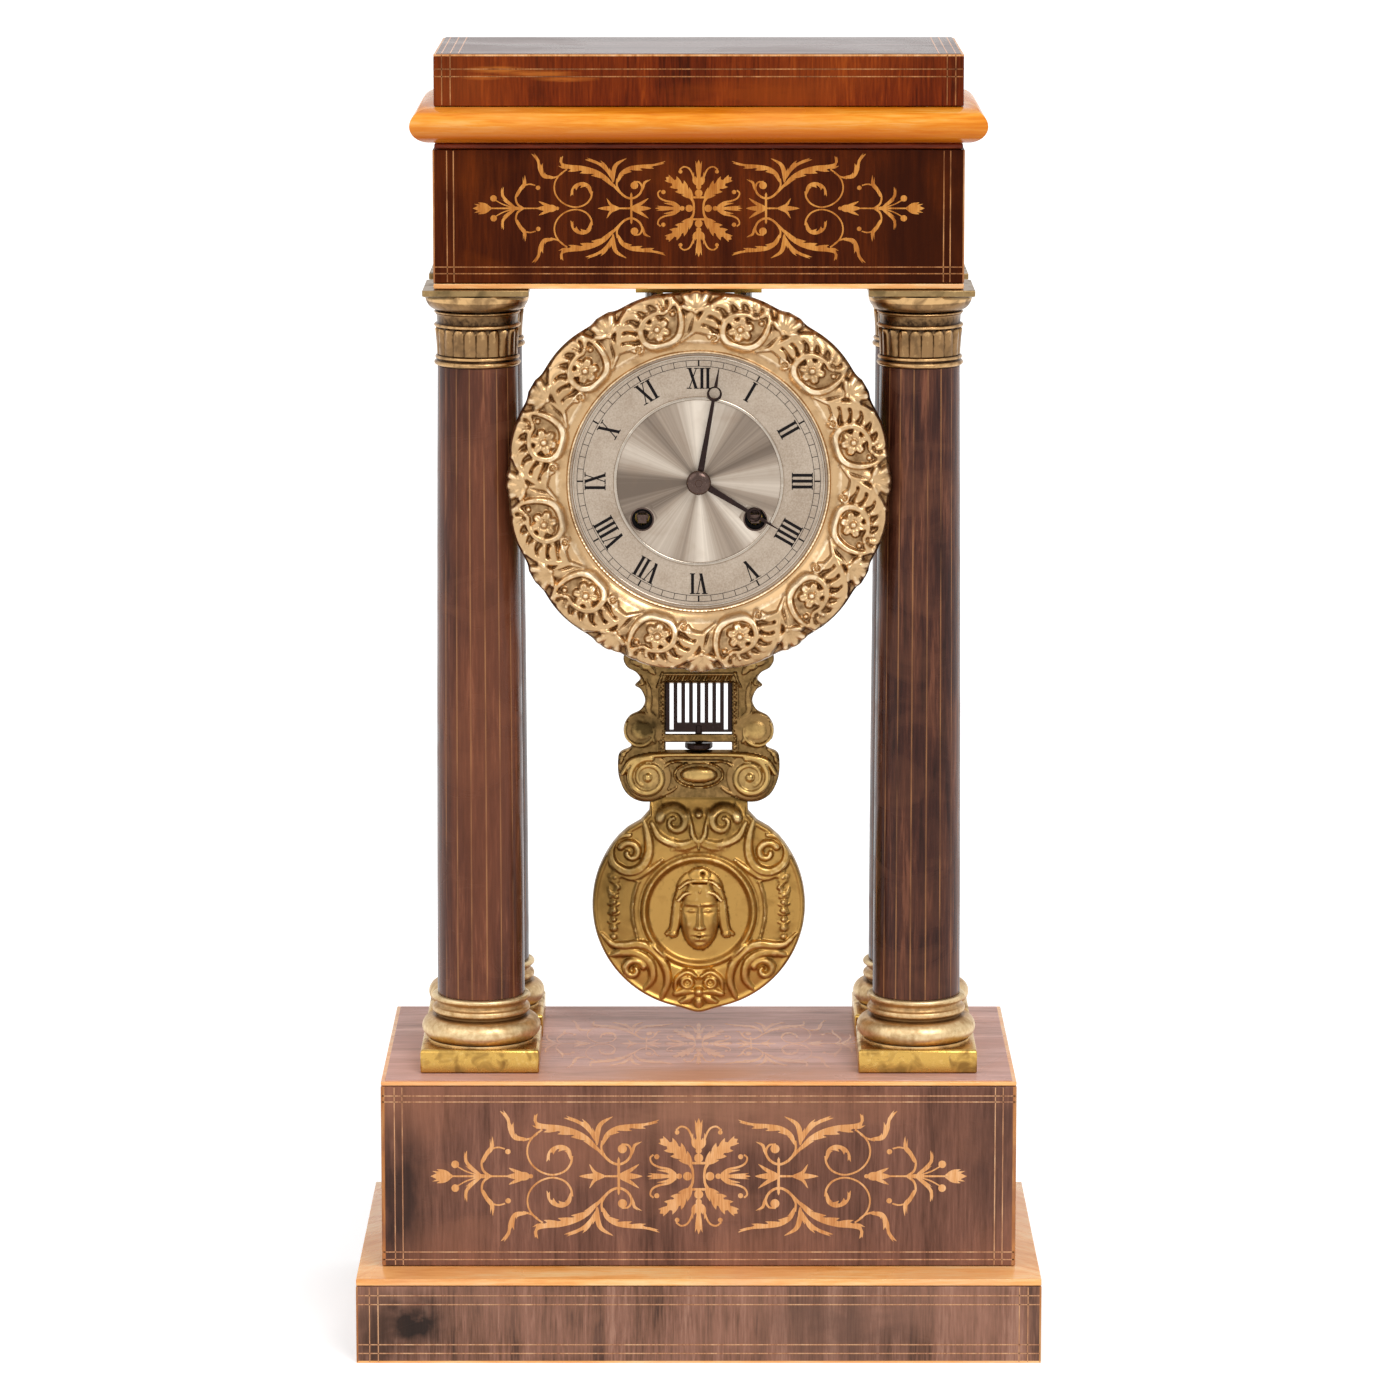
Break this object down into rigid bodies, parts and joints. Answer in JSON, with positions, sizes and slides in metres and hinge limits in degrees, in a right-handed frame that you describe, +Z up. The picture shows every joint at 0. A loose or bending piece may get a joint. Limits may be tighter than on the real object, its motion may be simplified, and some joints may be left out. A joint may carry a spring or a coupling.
{
  "type": "portico mantel clock",
  "caption": "Portico mantel clock: round striking movement in an embossed gilt bezel hung between columns over a gilt pendulum, on a stepped inlaid wooden base.",
  "frame": {"origin": "middle of the plinth's underside", "axes": "+Z up, -Y to the front where the dial faces, +X to the right as one faces the dial"},
  "size_m": [0.263, 0.1524, 0.4999],
  "materials": {
    "bell_metal": "polished bell metal",
    "cornice_wood": "polished light fruitwood",
    "dark_steel": "dark blued and browned steel",
    "gilt_brass": "old gilding, partly rubbed",
    "movement_brass": "polished brass",
    "rosewood": "French-polished rosewood veneer with light stringing",
    "silvered": "silvered brass with black numerals",
    "steel": "polished steel"
  },
  "bodies": {
    "case": {"back_plate": "movement_brass", "back_ring": "movement_brass", "base_top_board": "rosewood", "base_walls": "rosewood", "bell": "bell_metal", "bell_stand": "steel", "bezel": "gilt_brass", "column_base_back_left": "gilt_brass", "column_base_back_right": "gilt_brass", "column_base_front_left": "gilt_brass", "column_base_front_right": "gilt_brass", "column_capital_back_left": "gilt_brass", "column_capital_back_right": "gilt_brass", "column_capital_front_left": "gilt_brass", "column_capital_front_right": "gilt_brass", "column_shaft_back_left": "rosewood", "column_shaft_back_right": "rosewood", "column_shaft_front_left": "rosewood", "column_shaft_front_right": "rosewood", "cornice_bead": "rosewood", "cornice_moulding": "cornice_wood", "dial_plate": "silvered", "drum": "movement_brass", "frieze_soffit_board": "rosewood", "frieze_walls": "rosewood", "front_plate": "movement_brass", "hanger_bracket": "movement_brass", "hanger_screw_left": "steel", "hanger_screw_right": "steel", "plinth_frame": "rosewood", "plinth_ledge": "cornice_wood", "suspension_cock": "movement_brass", "suspension_spring": "steel", "tie_rod_back_left": "steel", "tie_rod_back_right": "steel", "tie_rod_front_left": "steel", "tie_rod_front_right": "steel", "top_block": "rosewood"},
    "minute_hand_and_centre_wheel": {"centre_wheel": "movement_brass", "cannon_pinion": "steel", "minute_hand": "dark_steel", "hand_collet": "dark_steel"},
    "hour_hand_and_wheel": {"hour_wheel": "movement_brass", "hour_hand": "dark_steel"},
    "minute_wheel": {"minute_wheel": "movement_brass"},
    "second_wheel": {"second_wheel": "movement_brass"},
    "going_barrel": {"going_barrel": "movement_brass"},
    "third_wheel": {"third_wheel": "movement_brass"},
    "escape_wheel": {"escape_wheel": "movement_brass"},
    "strike_barrel": {"strike_barrel": "movement_brass"},
    "strike_wheel": {"strike_wheel": "movement_brass", "count_wheel": "movement_brass"},
    "going_winding_arbor": {"going_winding_arbor": "steel"},
    "strike_winding_arbor": {"strike_winding_arbor": "steel"},
    "pendulum_rod": {"pendulum_rod": "dark_steel"},
    "anchor_crutch": {"anchor_crutch": "steel"},
    "pendulum_bob": {"pendulum_frame": "gilt_brass", "pendulum_bob": "gilt_brass"},
    "rating_nut": {"rating_nut": "dark_steel"},
    "hammer": {"hammer": "steel"}
  },
  "joints": [
    {"name": "minute_hand_turn", "type": "hinge", "parent": "case", "child": "minute_hand_and_centre_wheel", "pos_m": [0, 0, 0.3376], "axis": [0, 1, 0], "continuous": true},
    {"name": "hour_hand_turn", "type": "hinge", "parent": "case", "child": "hour_hand_and_wheel", "pos_m": [0, 0, 0.3376], "axis": [0, 1, 0], "continuous": true},
    {"name": "minute_wheel_turn", "type": "hinge", "parent": "case", "child": "minute_wheel", "pos_m": [0, 0, 0.3256], "axis": [0, 1, 0], "continuous": true},
    {"name": "second_wheel_turn", "type": "hinge", "parent": "case", "child": "second_wheel", "pos_m": [0.02379, 0, 0.34622], "axis": [0, 1, 0], "continuous": true},
    {"name": "going_barrel_turn", "type": "hinge", "parent": "case", "child": "going_barrel", "pos_m": [0.0215, 0, 0.323], "axis": [0, 1, 0], "continuous": true},
    {"name": "third_wheel_turn", "type": "hinge", "parent": "case", "child": "third_wheel", "pos_m": [-0.01122, 0, 0.35414], "axis": [0, 1, 0], "continuous": true},
    {"name": "escape_wheel_turn", "type": "hinge", "parent": "case", "child": "escape_wheel", "pos_m": [0, 0, 0.3584], "axis": [0, 1, 0], "continuous": true},
    {"name": "strike_barrel_turn", "type": "hinge", "parent": "case", "child": "strike_barrel", "pos_m": [-0.0215, 0, 0.323], "axis": [0, 1, 0], "continuous": true},
    {"name": "strike_wheel_turn", "type": "hinge", "parent": "case", "child": "strike_wheel", "pos_m": [-0.02379, 0, 0.34622], "axis": [0, 1, 0], "continuous": true},
    {"name": "going_winding_turn", "type": "hinge", "parent": "case", "child": "going_winding_arbor", "pos_m": [0.0215, 0, 0.323], "axis": [0, 1, 0], "range_deg": [0, 2160]},
    {"name": "strike_winding_turn", "type": "hinge", "parent": "case", "child": "strike_winding_arbor", "pos_m": [-0.0215, 0, 0.323], "axis": [0, 1, 0], "range_deg": [0, 2160]},
    {"name": "pendulum_swing", "type": "hinge", "parent": "case", "child": "pendulum_rod", "pos_m": [0, 0.0092, 0.372], "axis": [0, 1, 0], "range_deg": [-4, 4]},
    {"name": "crutch_swing", "type": "hinge", "parent": "case", "child": "anchor_crutch", "pos_m": [0, 0, 0.372], "axis": [0, 1, 0], "range_deg": [-4, 4]},
    {"name": "bob_slide", "type": "slide", "parent": "pendulum_rod", "child": "pendulum_bob", "axis": [0, 0, 1], "range_m": [-0.002, 0.002]},
    {"name": "rating_nut_turn", "type": "hinge", "parent": "pendulum_bob", "child": "rating_nut", "pos_m": [0, 0.0092, 0.2275], "axis": [0, 0, 1], "range_deg": [-1440, 1440]},
    {"name": "hammer_swing", "type": "hinge", "parent": "case", "child": "hammer", "pos_m": [0.025, 0, 0.3026], "axis": [0, 1, 0], "range_deg": [0, 20], "stiffness_Nm_per_rad": 0.02}
  ],
  "couplings": [
    {"joint": "hour_hand_turn", "follows": "minute_hand_turn", "ratio": 0.083333},
    {"joint": "minute_wheel_turn", "follows": "minute_hand_turn", "ratio": -0.33333},
    {"joint": "second_wheel_turn", "follows": "minute_hand_turn", "ratio": -0.22222},
    {"joint": "going_barrel_turn", "follows": "minute_hand_turn", "ratio": 0.037037},
    {"joint": "third_wheel_turn", "follows": "minute_hand_turn", "ratio": -12},
    {"joint": "escape_wheel_turn", "follows": "minute_hand_turn", "ratio": 132},
    {"joint": "strike_wheel_turn", "follows": "strike_barrel_turn", "ratio": -6},
    {"joint": "crutch_swing", "follows": "pendulum_swing", "ratio": 1},
    {"joint": "rating_nut_turn", "follows": "bob_slide", "rad_per_m": 12566}
  ]
}
